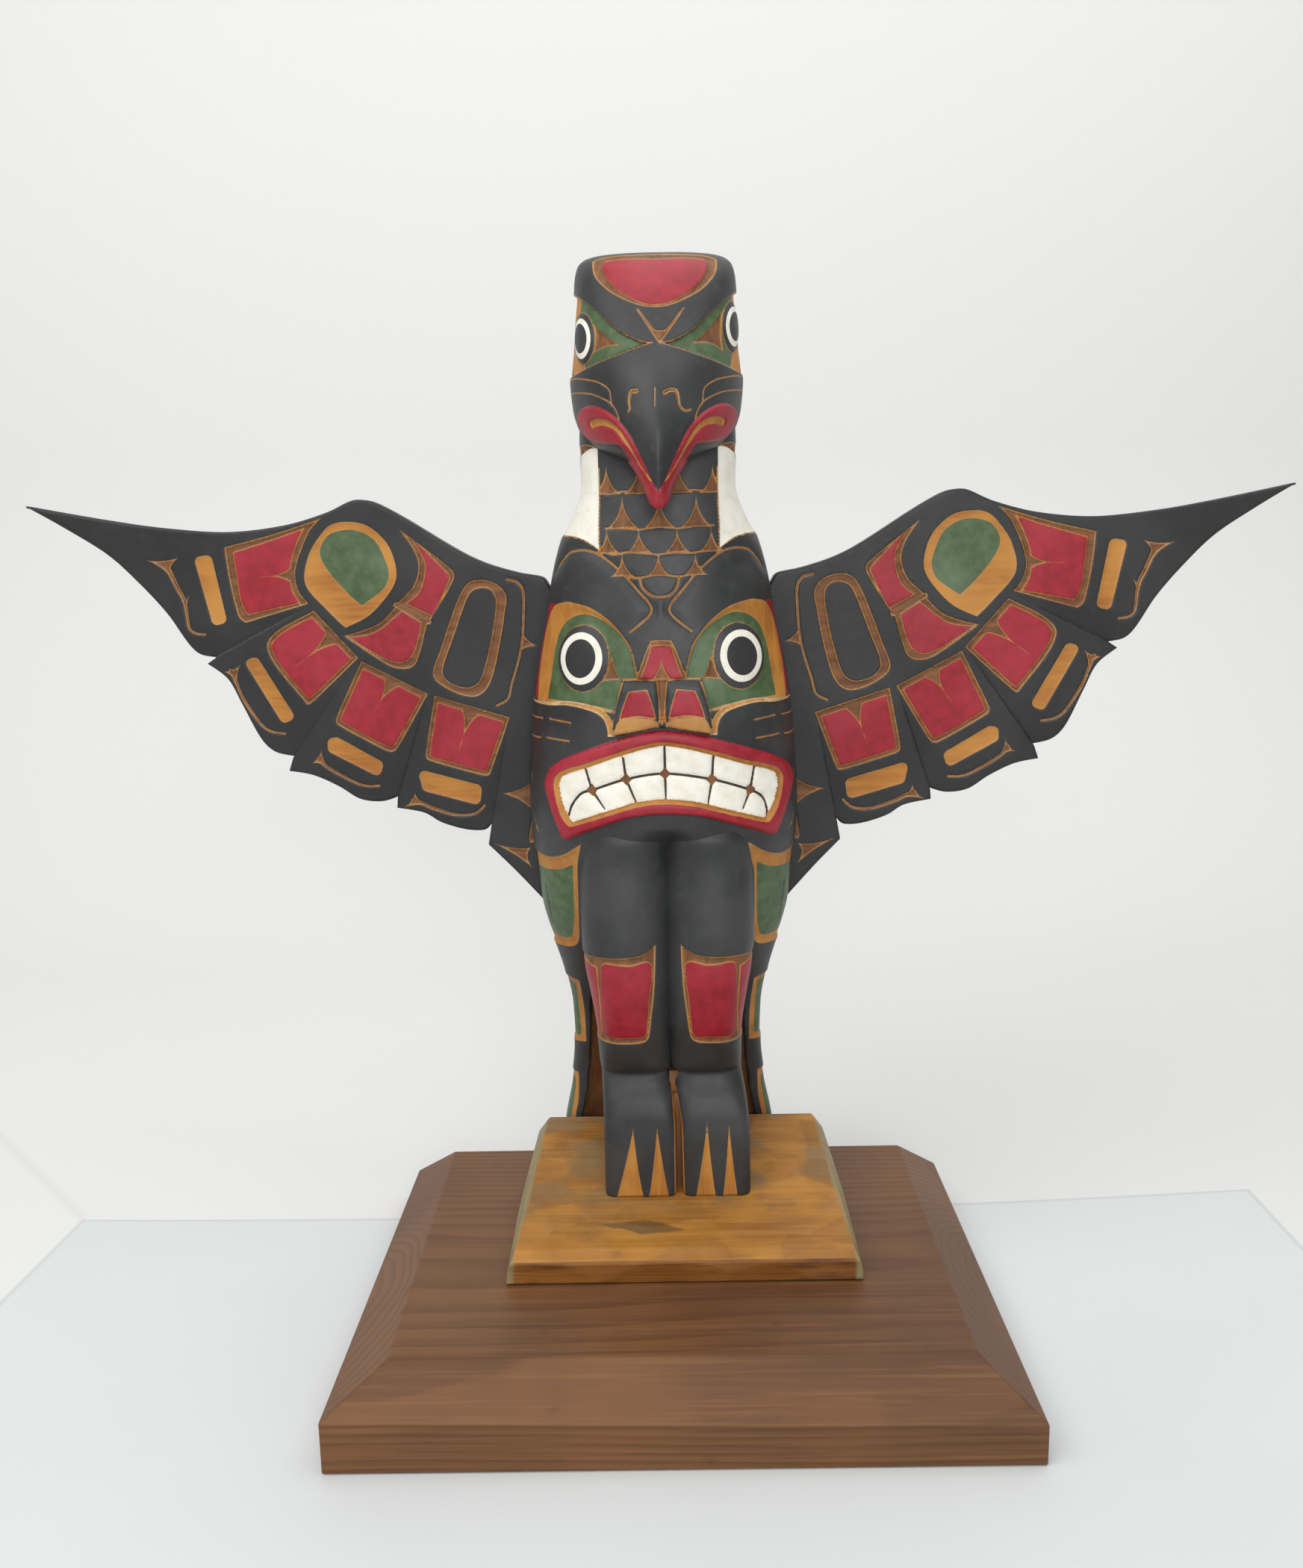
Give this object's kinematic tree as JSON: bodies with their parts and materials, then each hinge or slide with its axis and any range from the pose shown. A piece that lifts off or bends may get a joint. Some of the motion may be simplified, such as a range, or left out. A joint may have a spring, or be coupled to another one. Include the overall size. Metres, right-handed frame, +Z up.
{
  "type": "totem pole",
  "caption": "Carved and painted thunderbird totem figure with spread wings, perched on a wedge plinth on a bevelled wooden board.",
  "frame": {"origin": "middle of the part's box at the underside of the base board, on the middle plane of the figure and of the wingspan", "axes": "+Z up; the figure looks along -Y; the wings spread along X"},
  "size_m": [0.638, 0.25, 0.5312],
  "materials": {
    "stained_board": "red-brown stain, satin",
    "stained_plinth": "golden stain over knife facets, satin",
    "painted_figure": "black, red, green and white paint over stained carved wood, satin",
    "painted_wings": "black, red, green and ochre paint over stained carved wood, satin"
  },
  "bodies": {
    "root": {"base_board": "stained_board", "plinth_block": "stained_plinth", "carved_figure": "painted_figure", "wing_left": "painted_wings", "wing_right": "painted_wings"}
  },
  "joints": []
}
